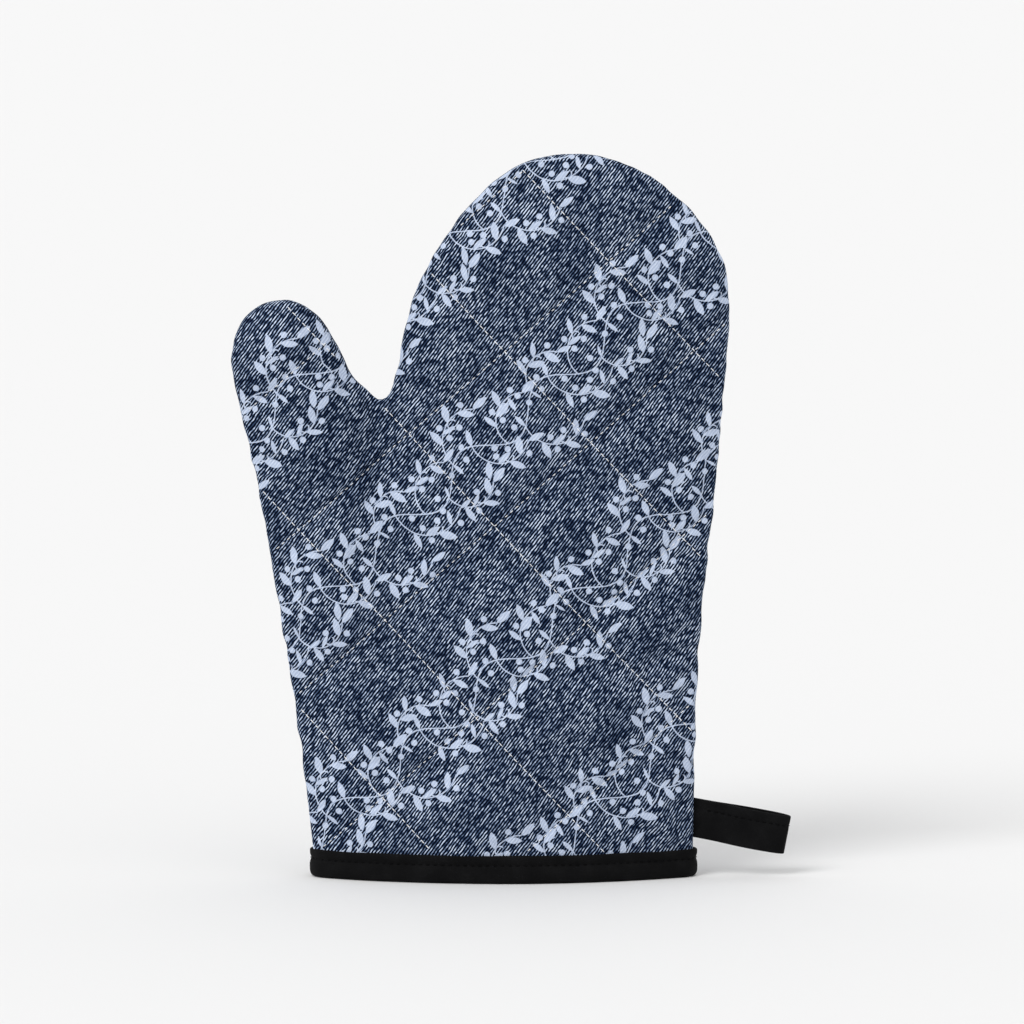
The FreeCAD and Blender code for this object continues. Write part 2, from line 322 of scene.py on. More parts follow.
def ripples(places, waves):
    """Ripples on top of one another, each given by its height, wavelength and seed."""
    return sum(height * ripple(places, wavelength, seed) for height, wavelength, seed in waves)


def row_distance(places, rows, angle):
    """How far each place is from the nearest row of a family, and its place along the rows."""
    along = np.array((math.cos(math.radians(angle)), math.sin(math.radians(angle))))
    across = np.array((-along[1], along[0]))
    offsets = np.array(rows) @ across
    away = np.abs((places @ across)[:, None] - offsets[None, :]).min(axis=1)
    return away, places @ along


def flat_tree(places):
    """A search tree over pattern places."""
    tree = KDTree(len(places))
    for i, (x, y) in enumerate(places):
        tree.insert((x, y, 0), i)
    tree.balance()
    return tree


def edge_distance(places, line):
    """Distance from each place to a line of close points."""
    tree = flat_tree(line)
    return np.array([tree.find((x, y, 0))[2] for x, y in places])


def quilted_relief(places, from_edge, seed):
    """How far the padded cloth stands above the plain pillow: puffs, dips, puckers and soft dents."""
    relief = np.zeros(len(places))
    puff = np.ones(len(places))
    wander = PUCKER_WANDER * ripple(places, PUCKER_WANDER_LENGTH, seed + 3)
    for rows, angle in ROW_FAMILIES:
        away, along = row_distance(places, rows, angle)
        puff *= 1 - np.exp(-away / PUFF_REACH)
        relief -= STITCH_DIP * np.exp(-((away / STITCH_DIP_REACH) ** 2))
        pucker = np.sin(2 * math.pi * along / PUCKER_PITCH + 3 * wander)
        relief += PUCKER_HEIGHT * pucker * np.exp(-away / PUCKER_REACH) * (0.6 + 0.4 * wander)
    relief += PUFF_HEIGHT * (puff - PUFF_MIDDLE)
    for step, (height, wavelength) in enumerate(SOFT_DENTS):
        relief += height * ripple(places, wavelength, seed + step)
    near_seam = np.exp(-from_edge / SEAM_PUCKER_REACH)
    relief += SEAM_PUCKER_HEIGHT * ripple(places, SEAM_PUCKER_LENGTH, seed + 2) * near_seam
    return relief


def cover_depth(places, from_edge, seed):
    """Depth of the printed cloth's face in front of the seam plane."""
    settle = 1 - np.exp(-np.maximum(from_edge, 0) / SETTLE_REACH)
    free_of_cuff = np.clip((places[:, 1] - BINDING_TOP + CUFF_HELD_LEAD) / CUFF_HELD_FADE, 0, 1) ** 0.8
    return half_depth(places) + quilted_relief(places, from_edge, seed) * settle * free_of_cuff


# ---- meshes ----


def make_object(name, points_mm, faces, uv):
    """A smooth-shaded mesh object from points of the row frame, with its flat pattern coordinates."""
    mesh = bpy.data.meshes.new(name)
    mesh.from_pydata([tuple(p) for p in np.asarray(points_mm, float) * MM], [], [list(f) for f in faces])
    mesh.validate()
    mesh.update()
    mesh.shade_smooth()
    corners = np.zeros(len(mesh.loops), np.int32)
    mesh.loops.foreach_get("vertex_index", corners)
    layer = mesh.uv_layers.new(name="pattern")
    layer.data.foreach_set("uv", np.asarray(uv, np.float32)[corners].ravel())
    made = bpy.data.objects.new(name, mesh)
    bpy.context.scene.collection.objects.link(made)
    return made


def stood_up(places, depth):
    """Pattern places as points of the row frame at the given depths."""
    return np.stack([places[:, 0], depth, places[:, 1]], axis=1)


def hex_places(low, high, step):
    """Places of a honeycomb grid over a rectangle."""
    places = []
    row_gap = step * math.sqrt(3) / 2
    for row in range(int((high[1] - low[1]) / row_gap) + 1):
        shift = step / 2 * (row % 2)
        for column in range(int((high[0] - low[0]) / step) + 1):
            places.append((low[0] + column * step + shift, low[1] + row * row_gap))
    return np.array(places)


def inside_polygon(places, ring):
    """Which places lie inside a closed polygon."""
    x, y = places[:, 0], places[:, 1]
    inside = np.zeros(len(places), bool)
    for (x0, y0), (x1, y1) in zip(ring, np.roll(ring, -1, axis=0)):
        crosses = (y0 > y) != (y1 > y)
        if crosses.any():
            at = x0 + (y[crosses] - y0) * (x1 - x0) / (y1 - y0)
            inside[crosses] ^= x[crosses] < at
    return inside


def triangulated(edge_line, step):
    """Triangles that fill the pattern inside an open edge line and a straight hem under it."""
    hem = respaced([edge_line[-1], edge_line[0]], step)[1:-1]
    ring = np.concatenate([edge_line, hem])
    low, high = ring.min(axis=0), ring.max(axis=0)
    grid = hex_places(low, high, step)
    grid = grid[inside_polygon(grid, ring)]
    closed_ring = respaced(np.concatenate([ring, ring[:1]]), step / 4)
    grid = grid[edge_distance(grid, closed_ring) > FILL_MARGIN * step]
    places = np.concatenate([ring, grid])
    found = delaunay_2d_cdt([Vector(p) for p in places], [], [list(range(len(ring)))], 1, 1e-5)
    order = [originals[0] if originals else -1 for originals in found[3]]
    if -1 in order or len(order) != len(places):
        raise RuntimeError("the panel's triangulation added or lost points")
    return places, [[order[i] for i in face] for face in found[2]]


def facing(points, faces, side):
    """The same faces, wound so that most of them look away from the seam plane."""
    first, second, third = (np.array([points[f[corner]] for f in faces]) for corner in range(3))
    turned = np.cross(second - first, third - first)[:, 1].sum()
    if turned * side < 0:
        return [list(reversed(f)) for f in faces]
    return faces


def cover_panel(name, side, seed):
    """One printed cloth panel: a face that puffs between quilting rows and rolls in to the seam."""
    line, outward = outline(PANEL_STEP)
    roll_inset = ROLL_RADIUS * (1 - math.cos(math.radians(ROLL_ANGLES[-1])))
    places, triangles = triangulated(line - outward * roll_inset, PANEL_STEP)
    fine_line, _ = outline(0.5, bottom=OUTLINE_BOTTOM)
    from_edge = edge_distance(places, fine_line)
    depth = cover_depth(places, from_edge - roll_inset, seed)
    face = stood_up(places, side * depth)
    roll_points, roll_uv, quads = cover_roll(line, outward, side, places, depth)
    points = np.concatenate([face, *roll_points])
    uv = np.concatenate([places, *roll_uv])
    if side == BACK:
        uv = uv * (-1, 1) + BACK_PRINT_SHIFT
    cover = make_object(name, points, facing(points, triangles, side) + facing(points, quads, side), uv)
    pins = np.ones(len(points))
    pins[: len(places)] = pin_weights(places, from_edge)
    puff_by_simulation(cover, pins)
    return cover


def cover_roll(line, outward, side, places, depth):
    """The rings and quads that roll a panel from the rim of its face in to the seam."""
    count = len(line)
    opening = LOOP_GAP / (1 + ((line[:, 1] - LOOP_MIDDLE_Z) / LOOP_GAP_REACH) ** 4) * (line[:, 0] > 0)
    points, uv, quads = [], [], []
    before = np.arange(count)
    for step, angle in enumerate(reversed(ROLL_ANGLES[:-1])):
        turn = math.radians(angle)
        inset = ROLL_RADIUS * (1 - math.cos(turn))
        share = max((ROLL_CENTRE_DEPTH + ROLL_RADIUS * math.sin(turn)) / ROLL_TOP, 0)
        spot = line - outward * inset
        points.append(stood_up(spot, side * mix(opening, depth[:count], share)))
        arc = ROLL_RADIUS * math.radians(ROLL_ANGLES[-1] - angle)
        uv.append(places[:count] + outward * arc)
        ring = len(places) + step * count + np.arange(count)
        quads += [[before[i], ring[i], ring[i + 1], before[i + 1]] for i in range(count - 1)]
        before = ring
    return points, uv, quads


def thicken(obj, thickness, inwards=True):
    """Gives an open sheet its cloth thickness on the side away from its face."""
    modifier = obj.modifiers.new("thickness", "SOLIDIFY")
    modifier.thickness = thickness * MM
    modifier.offset = -1 if inwards else 1
    modifier.use_rim = True
    depsgraph = bpy.context.evaluated_depsgraph_get()
    mesh = bpy.data.meshes.new_from_object(obj.evaluated_get(depsgraph))
    obj.modifiers.clear()
    obj.data = mesh
    return obj


# ---- cloth simulation ----


def pin_weights(places, from_edge):
    """1 where stitches, the seam or the binding hold the cloth, falling to 0 in the free cells."""
    held = np.exp(-((from_edge / SEAM_HOLD) ** 2))
    for rows, angle in ROW_FAMILIES:
        away, _ = row_distance(places, rows, angle)
        held = np.maximum(held, np.exp(-((away / ROW_HOLD) ** 2)))
    at_cuff = np.clip((BINDING_TOP + CUFF_HOLD - places[:, 1]) / CUFF_HOLD_FADE, 0, 1)
    return np.maximum(held, at_cuff)


def puff_by_simulation(obj, pins):
    """Lets the padded cloth swell between its stitches under pressure and keeps the settled shape."""
    group = obj.vertex_groups.new(name="stitched")
    for index, weight in enumerate(pins):
        group.add([index], float(weight), "REPLACE")
    rest = np.array([v.co for v in obj.data.vertices])
    modifier = obj.modifiers.new("cloth", "CLOTH")
    settings = modifier.settings
    settings.vertex_group_mass = "stitched"
    for key, value in SIM_CLOTH.items():
        setattr(settings, key, value)
    settings.effector_weights.gravity = 0
    modifier.collision_settings.use_collision = False
    modifier.point_cache.frame_start = 1
    modifier.point_cache.frame_end = SIM_FRAMES
    for step in range(1, SIM_FRAMES + 1):
        bpy.context.scene.frame_set(step)
    depsgraph = bpy.context.evaluated_depsgraph_get()
    settled = np.array([v.co for v in obj.evaluated_get(depsgraph).data.vertices])
    obj.modifiers.clear()
    obj.vertex_groups.clear()
    bpy.context.scene.frame_set(1)
    moved = settled - rest
    far = np.linalg.norm(moved, axis=1)
    limit = SIM_CAP * MM
    moved *= (np.minimum(far, limit) / np.maximum(far, 1e-9))[:, None]
    obj.data.vertices.foreach_set("co", (rest + moved).ravel())
    obj.data.update()


# ---- lining and wadding ----


def lining_panel(name, side, seed):
    """One lining panel: a plain cloth that follows the inside of the padding."""
    line, outward = outline(LINING_STEP)
    places, triangles = triangulated(line - outward * LINING_INSET, LINING_STEP)
    depth = half_depth(places) - LINING_DEPTH
    soft = ripples(places, ((0.35, 30, seed), (0.12, 9, seed + 1)))
    free_of_cuff = np.clip((places[:, 1] - BINDING_TOP) / 10.0, 0, 1)
    depth = np.maximum(depth - np.abs(soft) * free_of_cuff, LINING_CLEARANCE)
    points = stood_up(places, side * depth)
    lined = make_object(name, points, facing(points, triangles, side), places)
    return thicken(lined, LINING_THICKNESS, inwards=False)


def wadding_panel(name, side, cover):
    """One panel of wadding: fills the space between the printed cloth and the lining."""
    line, outward = outline(BATTING_STEP)
    places, triangles = triangulated(line - outward * WADDING_INSET, BATTING_STEP)
    face = np.array([v.co for v in cover.data.vertices]) / MM
    tree = flat_tree(face[:, [0, 2]])
    lowest = np.array([
        min((abs(face[i, 1]) for _, i, _ in tree.find_range((x, y, 0), WADDING_SEARCH)), default=3.0)
        for x, y in places
    ])
    lining_face = half_depth(places) - LINING_DEPTH + LINING_THICKNESS
    inner = np.maximum(lining_face + WADDING_OVER_LINING, WADDING_FROM_SEAM_PLANE)
    outer = np.maximum(lowest - WADDING_UNDER_COVER, inner + WADDING_THINNEST)
    count = len(places)
    points = np.concatenate([stood_up(places, side * outer), stood_up(places, side * inner)])
    top = facing(points, triangles, side)
    bottom = [[i + count for i in reversed(f)] for f in top]
    edges = {(f[i], f[(i + 1) % 3]) for f in top for i in range(3)}
    wall = [[b, a, a + count, b + count] for a, b in edges if (b, a) not in edges]
    return make_object(name, points, top + bottom + wall, np.concatenate([places, places]))


# ---- cuff binding ----


def cuff_ends(offset):
    """Where a wall that follows the cloth at the given offset ends on the left and the right."""
    line, _ = outline(0.5, bottom=OUTLINE_BOTTOM)
    height_off = np.abs(line[:, 1] - BINDING_MIDDLE)
    left = line[np.argmin(height_off + 1000 * (line[:, 0] > 0))][0]
    right = line[np.argmin(height_off + 1000 * (line[:, 0] < 0))][0]
    if offset < 0:
        xs = np.linspace(left, right, 2000)
        deep = half_depth(np.stack([xs, np.full_like(xs, BINDING_MIDDLE)], axis=1)) + offset > 0.4
        left, right = xs[deep][0], xs[deep][-1]
    return left, right


def rounded_section(wall, count):
    """A wall's closed line round the cuff, evenly spaced, with its outward normals and its length."""
    offset, ends_out, round_end = wall
    cloth_left, cloth_right = cuff_ends(offset)
    left, right = cloth_left - ends_out, cloth_right + ends_out
    turn = np.linspace(0, math.pi, 900)
    xs = (left + right) / 2 + (right - left) / 2 * np.cos(turn)
    on_cloth = np.clip(xs, left + ends_out, right - ends_out)
    depth = half_depth(np.stack([on_cloth, np.full_like(xs, BINDING_MIDDLE)], axis=1))
    from_end = np.minimum(xs - left, right - xs)
    rounding = np.sqrt(np.maximum(1 - np.maximum(1 - from_end / round_end, 0) ** 2, 0))
    depth = np.maximum(depth + offset, 0) * rounding
    ring = np.concatenate([np.stack([xs, -depth], axis=1), np.stack([xs, depth], axis=1)[::-1][1:]])
    ring = respaced(ring, 0.2)
    girth = lengths_along(ring)[-1]
    ring = divided(ring, count)[:-1]
    tangent = unit_rows(np.roll(ring, -1, axis=0) - np.roll(ring, 1, axis=0))
    normal = np.stack([-tangent[:, 1], tangent[:, 0]], axis=1)
    if ((ring - ring.mean(axis=0)) * normal).sum() < 0:
        normal = -normal
    return ring, normal, girth


# The folded tape's section: share of the way from the outer wall to the inner wall, stand-off, height.
BINDING_SECTION = [
    (0, 0.15, 10.5), (0, 0.4, 10.9), (0, 0.85, 11.0), (0, 1.25, 10.75), (0, 1.4, 10.2), (0, 1.4, 9.4),
    (0, 1.3, 8.6), (0, 1.05, 7.9), (0, 0.85, 7.4), (0, 0.85, 7.1), (0, 1.05, 6.6), (0, 1.3, 5.9),
    (0, 1.45, 5.0), (0, 1.5, 3.8), (0, 1.45, 2.5), (0, 1.25, 1.4), (0, 0.8, 0.6), (0, 0.1, 0.15),
    (0.15, 0, 0.0), (0.35, 0, 0.0), (0.65, 0, 0.0), (0.85, 0, 0.0),
    (1, 0.1, 0.15), (1, 0.8, 0.6), (1, 1.2, 1.4), (1, 1.35, 2.5), (1, 1.4, 3.8), (1, 1.35, 5.0),
    (1, 1.2, 5.9), (1, 0.95, 6.6), (1, 0.8, 7.1), (1, 0.8, 7.4), (1, 0.95, 7.9), (1, 1.2, 8.6),
    (1, 1.3, 9.4), (1, 1.3, 10.2), (1, 1.15, 10.75), (1, 0.8, 11.0), (1, 0.35, 10.9), (1, 0.1, 10.5),
    (1, 0.05, 9.0), (1, 0.05, 5.0), (1, 0.05, 2.0), (0.9, 0, 1.4), (0.5, 0, 1.3), (0.1, 0, 1.4),
    (0, 0.05, 2.0), (0, 0.05, 5.0), (0, 0.05, 9.0),
]


def tube(rings, closed):
    """Quad faces between equal rings of points, stored ring after ring, with flat caps if open."""
    count, size = len(rings), len(rings[0])
    faces = []
    for i in range(count if closed else count - 1):
        here, after = i * size, (i + 1) % count * size
        for j in range(size):
            k = (j + 1) % size
            faces.append([here + j, here + k, after + k, after + j])
    if not closed:
        faces.append(list(reversed(range(size))))
        faces.append([(count - 1) * size + j for j in range(size)])
    return faces


def cuff_binding():
    """The folded tape round the rim: outer wall, underside and inner wall in one closed fold."""
    outer, outward, girth = rounded_section(OUTER_WALL, BINDING_STATIONS)
    inner, inner_out, _ = rounded_section(INNER_WALL, BINDING_STATIONS)
    along = np.linspace(0, girth, BINDING_STATIONS, endpoint=False)
    turn = 2 * math.pi * along / girth
    circle = np.stack([np.cos(turn), np.sin(turn)], axis=1) * (girth / (2 * math.pi))
    sway = ripple(circle, 28, 5)
    flutter = ripple(circle, 5, 6)
    rings = np.zeros((BINDING_STATIONS, len(BINDING_SECTION), 3))
    uv = np.zeros((BINDING_STATIONS, len(BINDING_SECTION), 2))
    walk = 0.0
    last = BINDING_SECTION[0]
    for j, (share, off, z) in enumerate(BINDING_SECTION):
        walk += math.hypot(z - last[2], off - last[1]) + abs(share - last[0]) * 6
        last = (share, off, z)
        direction = outward if share < 0.5 else -inner_out
        stand_off = off + (0.07 * sway + 0.03 * flutter) * (off > 0.5)
        rings[:, j, :2] = mix(outer, inner, share) + direction * stand_off[:, None]
        rings[:, j, 2] = z + max(z - 5, 0) / 6 * (0.16 * sway + 0.05 * flutter)
        uv[:, j, 0] = along
        uv[:, j, 1] = walk
    points = rings.reshape(-1, 3)
    return make_object("cuff_binding_tape", points, oriented(points, tube(rings, True)), uv.reshape(-1, 2))


def oriented(points, faces):
    """Faces of a closed solid, all flipped if they enclose a negative volume."""
    volume = 0.0
    for f in faces:
        a = points[f[0]]
        for b, c in zip(f[1:], f[2:]):
            volume += np.dot(a, np.cross(points[b], points[c]))
    if volume < 0:
        return [list(reversed(f)) for f in faces]
    return faces


# ---- hanging loop ----


def loop_world(places):
    """Loop places (u out from the hinge, v depth, w along the tape's width) in the row frame."""
    turn = math.radians(LOOP_DROOP_DEGREES)
    u, v, w = places[:, 0], places[:, 1], places[:, 2]
    x = LOOP_HINGE_X + u * math.cos(turn) + w * math.sin(turn)
    z = LOOP_MIDDLE_Z - u * math.sin(turn) + w * math.cos(turn)
    return np.stack([x, v, z], axis=1)


LOOP_HALF_PATH = [
    (-4.6, 0.66), (-2.0, 0.66), (0.0, 0.68), (2.5, 0.8), (6.5, 1.35), (11.0, 2.6), (16.0, 3.8),
    (21.0, 4.3), (26.0, 4.15), (30.0, 3.3), (32.4, 2.0), (33.5, 0.7),
]
# The tape's section: its folded edge as width and thickness, then places across its face.
LOOP_HALF_TAPE = 0.62
LOOP_EDGE = [(7.0, 0.62), (7.32, 0.5), (7.5, 0.22), (7.5, -0.22), (7.32, -0.5), (7.0, -0.62)]
LOOP_FACE = [6.0, 5.0, 4.4, 3.9, 3.6, 3.1, 2.2, 0.0, -2.5, -5.0, -6.2]
LOOP_DIP = 0.2
LOOP_DIP_REACH = 0.55
LOOP_STITCH_W = LOOP_WIDTH / 2 - 3.8
LOOP_STEP = 0.9
# Its stitches: the first one's place along the loop's centre line and the gap to the next, in points.
LOOP_STITCH_START = 6
LOOP_STITCH_GAP = 3


def loop_section():
    """The tape's cross-section as (w, t): folded edges at both sides and a dip along its stitches."""
    face = []
    for w in LOOP_FACE:
        dip = LOOP_DIP * math.exp(-(((w - LOOP_STITCH_W) / LOOP_DIP_REACH) ** 2))
        face.append((w, LOOP_HALF_TAPE - dip))
    upper = face + [(-w, t) for w, t in LOOP_EDGE]
    lower = [(w, -t) for w, t in reversed(face)] + [(w, -t) for w, t in LOOP_EDGE]
    return upper + lower


def loop_path():
    """The loop's centre line in (u, v) and its left-hand normals."""
    full = LOOP_HALF_PATH + [(u, -v) for u, v in reversed(LOOP_HALF_PATH)]
    path = respaced(smooth_line(full, 0.2), LOOP_STEP)
    tangent = unit_rows(np.gradient(path, axis=0))
    normal = np.stack([-tangent[:, 1], tangent[:, 0]], axis=1)
    return path, normal


def hanging_loop():
    """The loop's tape with its folded edges, from inside the seam round and back into it."""
    path, normal = loop_path()
    section = loop_section()
    along = np.arange(len(path)) * LOOP_STEP
    sway = ripple(np.stack([along, np.zeros_like(along)], axis=1), 17, 9)
    rings = []
    uv = []
    for spot, out, walk, wave in zip(path, normal, along, sway):
        ring = [(spot[0] + out[0] * t, spot[1] + out[1] * t, w * (1 + 0.006 * wave)) for w, t in section]
        rings.append(ring)
        uv.append([(walk, w + (20 if t < 0 else 0)) for w, t in section])
    points = loop_world(np.array(rings).reshape(-1, 3))
    faces = oriented(points, tube(rings, False))
    return make_object("hanging_loop_tape", points, faces, np.array(uv).reshape(-1, 2))


# ---- stitches ----

# A thread: rings of its length share, swell and lift, the last two in radii. Its ends dip into the cloth.
CAPSULE_SIDES = 6
CAPSULE_RINGS = [
    (-0.5, 0.3, -1.3), (-0.38, 0.8, -0.1), (-0.15, 1.0, 0.55),
    (0.15, 1.0, 0.55), (0.38, 0.8, -0.1), (0.5, 0.3, -1.3),
]


def stitches(name, marks, radius):
    """Short bent threads: each mark is (middle, direction, surface normal, length), in millimetres."""
    points = []
    faces = []
    uv = []
    for middle, direction, normal, length in marks:
        side = np.cross(normal, direction)
        start = len(points)
        for share, swell, lift in CAPSULE_RINGS:
            centre = middle + direction * share * length + normal * lift * radius
            for k in range(CAPSULE_SIDES):
                turn = 2 * math.pi * k / CAPSULE_SIDES
                spoke = normal * math.cos(turn) + side * math.sin(turn)
                points.append(centre + spoke * radius * swell)
                uv.append((share * length, turn * radius))
        rings = len(CAPSULE_RINGS)
        for i in range(rings - 1):
            for k in range(CAPSULE_SIDES):
                n = (k + 1) % CAPSULE_SIDES
                a, b = start + i * CAPSULE_SIDES, start + (i + 1) * CAPSULE_SIDES
                faces.append([a + k, b + k, b + n, a + n])
        faces.append([start + k for k in range(CAPSULE_SIDES)])
        end = start + (rings - 1) * CAPSULE_SIDES
        faces.append([end + k for k in reversed(range(CAPSULE_SIDES))])
    return make_object(name, points, faces, uv)


def surface_of(obj):
    """A ray-cast tree of an object's mesh, in millimetres."""
    mesh = obj.data
    vertices = [v.co / MM for v in mesh.vertices]
    return BVHTree.FromPolygons(vertices, [tuple(p.vertices) for p in mesh.polygons])


def row_marks(tree, side, rows, angle, length, seed):
    """Stitch places along one family of rows, laid on the cloth."""
    rng = np.random.default_rng(seed)
    along = np.array((math.cos(math.radians(angle)), math.sin(math.radians(angle))))
    margin_line, outward = outline(1.0)
    ring = margin_line - outward * ROW_MARGIN
    marks = []
    for point in rows:
        steps = np.arange(-300, 300, STITCH_PITCH)
        places = np.array(point) + steps[:, None] * along
        keep = inside_polygon(places, ring) & (places[:, 1] > BINDING_TOP + 1.0)
        for place in places[keep]:
            hits = []
            for shift in (-0.5, 0.5):
                x, y = place + along * shift
                hits.append(tree.ray_cast(Vector((x, side * 90, y)), Vector((0, -side, 0))))
            if hits[0][0] is None or hits[1][0] is None:
                continue
            low, high = np.array(hits[0][0]), np.array(hits[1][0])
            direction = (high - low) / np.linalg.norm(high - low)
            normal = np.array(hits[0][1]) + np.array(hits[1][1])
            normal -= direction * (normal @ direction)
            normal /= np.linalg.norm(normal)
            if normal[1] * side < 0:
                normal = -normal
            reach = length * rng.uniform(0.92, 1.08)
            marks.append(((low + high) / 2, direction, normal, reach))
    return marks


def quilting(name, side, cover, seed):
    """The white quilting thread of one panel."""
    tree = surface_of(cover)
    marks = row_marks(tree, side, FALLING_ROWS, FALLING_ANGLE, FALLING_STITCH_LENGTH, seed)
    marks += row_marks(tree, side, RISING_ROWS, RISING_ANGLE, RISING_STITCH_LENGTH, seed + 1)
    return stitches(name, marks, STITCH_RADIUS)


def upright(place):
    """A pattern place or direction in the seam plane of the row frame."""
    return np.array((place[0], 0, place[1]))


def seam_marks(inset):
    """Stitches along the outline at the seam plane."""
    line, outward = outline(STITCH_PITCH, bottom=BINDING_TOP + 1)
    middles = line - outward * inset
    marks = []
    for a, b, out in zip(middles[:-1], middles[1:], outward):
        direction = (b - a) / np.linalg.norm(b - a)
        marks.append((upright((a + b) / 2), upright(direction), upright(out), STITCH_LENGTH))
    return marks


def binding_marks():
    """The binding's topstitches, outside and inside, at the height of its dip."""
    marks = []
    for wall, stand_off, sign in ((OUTER_WALL, 0.85, 1), (INNER_WALL, -0.8, -1)):
        ring, outward, _ = rounded_section(wall, BINDING_STITCHES)
        for here, after, out in zip(ring, np.roll(ring, -1, axis=0), outward):
            spot = here + out * stand_off
            middle = np.array((*spot, BINDING_STITCH_Z))
            direction = np.array((*(after - here) / np.linalg.norm(after - here), 0))
            marks.append((middle, direction, np.array((*out * sign, 0)), STITCH_LENGTH))
    return marks


def loop_marks():
    """The loop's topstitches on both faces of its tape."""
    path, normal = loop_path()
    marks = []
    face = LOOP_HALF_TAPE - LOOP_DIP
    for i in range(LOOP_STITCH_START, len(path) - LOOP_STITCH_START, LOOP_STITCH_GAP):
        ahead = path[i + 1] - path[i - 1]
        ahead = ahead / np.linalg.norm(ahead)
        for sign in (-1, 1):
            spot = path[i] + normal[i] * sign * face
            ends = loop_world(np.array([
                (spot[0], spot[1], LOOP_STITCH_W),
                (spot[0] + ahead[0], spot[1] + ahead[1], LOOP_STITCH_W),
                (spot[0] + sign * normal[i][0], spot[1] + sign * normal[i][1], LOOP_STITCH_W),
            ]))
            marks.append((ends[0], ends[1] - ends[0], ends[2] - ends[0], STITCH_LENGTH))
    return marks


# ---- materials ----


class Cloth:
    """One fabric material: a principled shader and short helpers that add nodes to it."""

    def __init__(self, name, roughness, sheen=0.0, sheen_roughness=0.5, specular=0.25):
        self.material = bpy.data.materials.new(name)
        self.material.use_nodes = True
        self.tree = self.material.node_tree
        self.shader = self.tree.nodes["Principled BSDF"]
        self.shader.inputs["Roughness"].default_value = roughness
        self.shader.inputs["Sheen Weight"].default_value = sheen
        self.shader.inputs["Sheen Roughness"].default_value = sheen_roughness
        self.shader.inputs["Specular IOR Level"].default_value = specular

    def node(self, kind, inputs=(), **settings):
        """A node with its settings, its first inputs linked or set in order."""
        made = self.tree.nodes.new(kind)
        for key, value in settings.items():
            setattr(made, key, value)
        for index, value in enumerate(inputs):
            if isinstance(value, bpy.types.NodeSocket):
                self.tree.links.new(value, made.inputs[index])
            elif value is not None:
                made.inputs[index].default_value = value
        return made

    def math(self, operation, *values):
        return self.node("ShaderNodeMath", values, operation=operation).outputs[0]

    def vector(self, operation, *values):
        made = self.node("ShaderNodeVectorMath", values, operation=operation)
        return made.outputs["Value" if operation in ("DOT_PRODUCT", "DISTANCE", "LENGTH") else "Vector"]

    def pattern(self):
        """The piece's own flat pattern coordinates, in millimetres."""
        return self.node("ShaderNodeUVMap", uv_map="pattern").outputs[0]

    def joined(self, x, y, z=0.0):
        return self.node("ShaderNodeCombineXYZ", (x, y, z)).outputs[0]

    def split(self, place):
        """The x and y of a place."""
        return self.node("ShaderNodeSeparateXYZ", (place,)).outputs[:2]

    def threads(self, across, per_mm):
        """Threads side by side: 0 between two of them, 0.5 on top of one."""
        return self.math("PINGPONG", self.math("MULTIPLY", across, per_mm), 0.5)

    def noise(self, place, scale, detail=2.0, roughness=0.5):
        """Soft noise from 0 to 1 with the given scale per millimetre."""
        made = self.node("ShaderNodeTexNoise", (place,), normalize=True)
        for name, value in (("Scale", scale), ("Detail", detail), ("Roughness", roughness)):
            made.inputs[name].default_value = value
        return made.outputs[0]

    def span(self, value, low, high, to_low=0.0, to_high=1.0):
        """The value rescaled from low..high to to_low..to_high and held inside it."""
        made = self.node("ShaderNodeMapRange", (value, low, high, to_low, to_high), clamp=True)
        return made.outputs[0]

    def ramp(self, value, stops):
        """A colour ramp from (place, display colour from 0 to 255) stops."""
        made = self.node("ShaderNodeValToRGB", (value,))
        elements = made.color_ramp.elements
        while len(elements) < len(stops):
            elements.new(0.5)
        for element, (place, colour) in zip(elements, stops):
            element.position = place
            element.color = (*linear(colour), 1)
        return made.outputs[0]

    def blend(self, share, first, second):
        """A colour between two, each a socket or a display colour."""
        made = self.node("ShaderNodeMix", data_type="RGBA")
        for index, value in ((0, share), (6, first), (7, second)):
            if isinstance(value, bpy.types.NodeSocket):
                self.tree.links.new(value, made.inputs[index])
            else:
                made.inputs[index].default_value = (*linear(value), 1)
        return made.outputs[2]

    def finish(self, colour, height, bump_mm, strength=1.0):
        """Connects the colour and a bump of the given height in millimetres."""
        self.tree.links.new(colour, self.shader.inputs["Base Color"])
        bump = self.node("ShaderNodeBump")
        bump.inputs["Strength"].default_value = strength
        bump.inputs["Distance"].default_value = bump_mm * MM
        self.tree.links.new(height, bump.inputs["Height"])
        self.tree.links.new(bump.outputs[0], self.shader.inputs["Normal"])
        return self.material


def linear(colour):
    """A display colour from 0 to 255 as scene-linear values."""
    shares = [c / 255 for c in colour]
    return tuple(s / 12.92 if s <= 0.04045 else ((s + 0.055) / 1.055) ** 2.4 for s in shares)


# The sprig print: garlands that climb to the right, each repeating along itself and beside itself.
GARLAND_ANGLE = 43.0
GARLAND_REPEAT = 80.0
GARLAND_GAP = 66.0
GARLAND_SHIFT = 31.0
GARLAND_START = (-43.0, 46.0)
TWIGS = 8
LEAF_RADIUS = 5.0
BERRY_RADIUS = 1.2
STEM_HALF_WIDTH = 0.24
VINE_SWING = 5.6
VINE_WAVES = 2
ARC_HALF_ANGLE = math.radians(70)
ARC_FACING = math.radians(118)
CURL_HALF_ANGLE = math.radians(120)
TILE_MARGIN = 14.0


def repeated(x):
    """A place along the garland and its copy on the far side of the repeat if it is near an end."""
    x = x % GARLAND_REPEAT
    places = [x]
    if x < TILE_MARGIN:
        places.append(x + GARLAND_REPEAT)
    if x > GARLAND_REPEAT - TILE_MARGIN:
        places.append(x - GARLAND_REPEAT)
    return places


